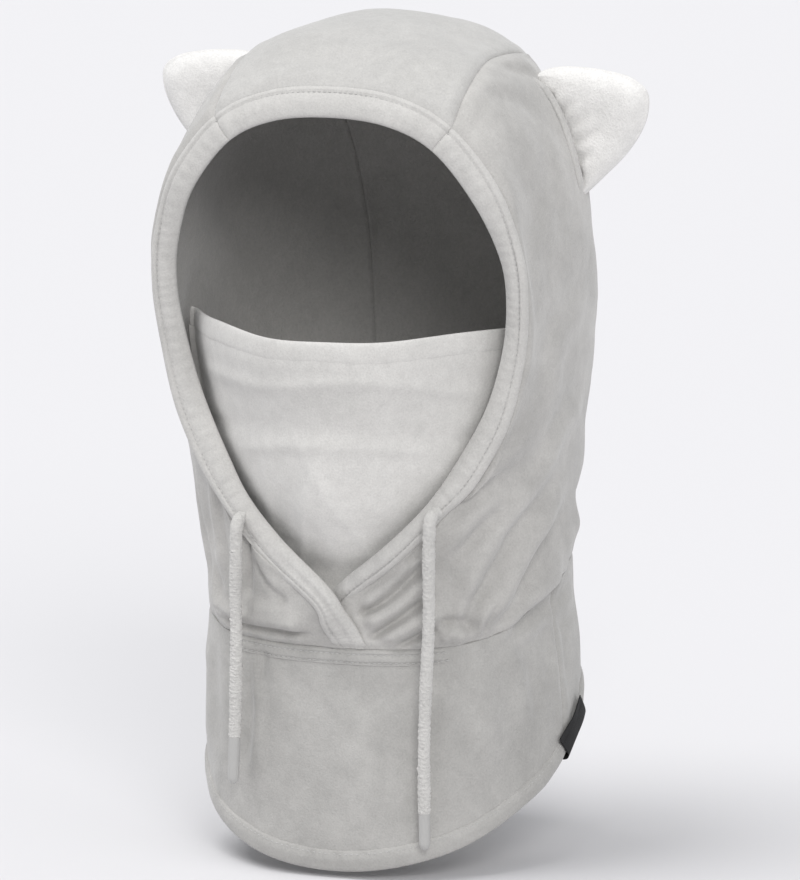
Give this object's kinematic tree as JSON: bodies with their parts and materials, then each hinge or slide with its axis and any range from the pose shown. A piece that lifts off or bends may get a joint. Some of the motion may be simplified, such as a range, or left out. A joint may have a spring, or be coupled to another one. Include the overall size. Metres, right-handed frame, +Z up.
{
  "type": "over-helmet balaclava hood",
  "caption": "Soft over-helmet balaclava with rounded ears, drawcord face opening, face mask panel and neck bib.",
  "frame": {"origin": "on the plane of symmetry at the level of the lowest point of the front hem, under the middle of the head", "axes": "+Z up as worn, -Y the way the wearer looks, +X the wearer's left"},
  "size_m": [0.3034, 0.2467, 0.474],
  "materials": {
    "hood_fleece": "brushed fleece, matt",
    "band_fleece": "folded fleece, matt",
    "bib_fleece": "brushed fleece, matt",
    "mask_fleece": "soft knit, matt",
    "ear_fleece": "deep soft pile, matt",
    "lining": "light fleece lining, matt",
    "cord": "soft woven cord, matt",
    "cord_tip": "smooth wrapped tip",
    "thread": "sewing thread",
    "tape": "woven tape",
    "elastic": "knitted elastic",
    "filling": "soft fibre filling",
    "label": "woven label, plain, no lettering"
  },
  "bodies": {
    "hood": {"hood_center_panel": "hood_fleece", "hood_side_panel_left": "hood_fleece", "hood_side_panel_right": "hood_fleece", "hood_lining_center": "lining", "hood_lining_left": "lining", "hood_lining_right": "lining", "face_band_top": "band_fleece", "face_band_left": "band_fleece", "face_band_right": "band_fleece", "face_band_topstitch": "thread", "drawcord_run": "cord", "mask_panel": "mask_fleece", "mask_lining": "lining", "bib_front": "bib_fleece", "bib_back": "bib_fleece", "bib_lining_front": "lining", "bib_lining_back": "lining", "neck_seam_tape": "tape", "neck_facing": "bib_fleece", "neck_topstitch_upper": "thread", "neck_topstitch_lower": "thread", "hem_band": "bib_fleece", "hem_topstitch": "thread", "side_label": "label", "ear_left_welt": "hood_fleece", "ear_right_welt": "hood_fleece"},
    "mask_edge": {"mask_top_hem": "mask_fleece", "mask_elastic": "elastic"},
    "ear_left": {"ear_left_front": "ear_fleece", "ear_left_back": "ear_fleece", "ear_left_filling": "filling"},
    "ear_right": {"ear_right_front": "ear_fleece", "ear_right_back": "ear_fleece", "ear_right_filling": "filling"},
    "cord_left_hang": {"drawcord_neck_left": "cord"},
    "cord_left_pull": {"drawcord_end_left": "cord", "cord_tip_left": "cord_tip"},
    "cord_right_hang": {"drawcord_neck_right": "cord"},
    "cord_right_pull": {"drawcord_end_right": "cord", "cord_tip_right": "cord_tip"}
  },
  "joints": [
    {"name": "mask_down", "type": "slide", "parent": "hood", "child": "mask_edge", "axis": [0, 0.2, -0.9798], "range_m": [0, 0.05], "stiffness_N_per_m": 20, "deforming": ["mask_panel", "mask_lining"]},
    {"name": "ear_left_fold", "type": "hinge", "parent": "hood", "child": "ear_left", "pos_m": [0.09627, 0.05393, 0.40691], "axis": [-0.3864, -0.0515, 0.9209], "range_deg": [-25, 25], "stiffness_Nm_per_rad": 0.05},
    {"name": "ear_right_fold", "type": "hinge", "parent": "hood", "child": "ear_right", "pos_m": [-0.09627, 0.05393, 0.40691], "axis": [-0.3864, 0.0515, -0.9209], "range_deg": [-25, 25], "stiffness_Nm_per_rad": 0.05},
    {"name": "cord_left_swing", "type": "hinge", "parent": "hood", "child": "cord_left_hang", "pos_m": [0.0605, -0.072, 0.209], "axis": [-1, 0, 0], "range_deg": [0, 60], "stiffness_Nm_per_rad": 0.004},
    {"name": "cord_left_slide", "type": "slide", "parent": "cord_left_hang", "child": "cord_left_pull", "axis": [-0.0331, 0.0471, -0.9983], "range_m": [-0.02, 0.02], "stiffness_N_per_m": 5, "deforming": ["drawcord_neck_left"]},
    {"name": "cord_right_swing", "type": "hinge", "parent": "hood", "child": "cord_right_hang", "pos_m": [-0.0545, -0.072, 0.2], "axis": [-1, 0, 0], "range_deg": [0, 60], "stiffness_Nm_per_rad": 0.004},
    {"name": "cord_right_slide", "type": "slide", "parent": "cord_right_hang", "child": "cord_right_pull", "axis": [-0.0348, 0.0576, -0.9977], "range_m": [-0.02, 0.02], "stiffness_N_per_m": 5, "deforming": ["drawcord_neck_right"]}
  ],
  "couplings": [
    {"joint": "cord_right_slide", "follows": "cord_left_slide", "ratio": -1}
  ]
}
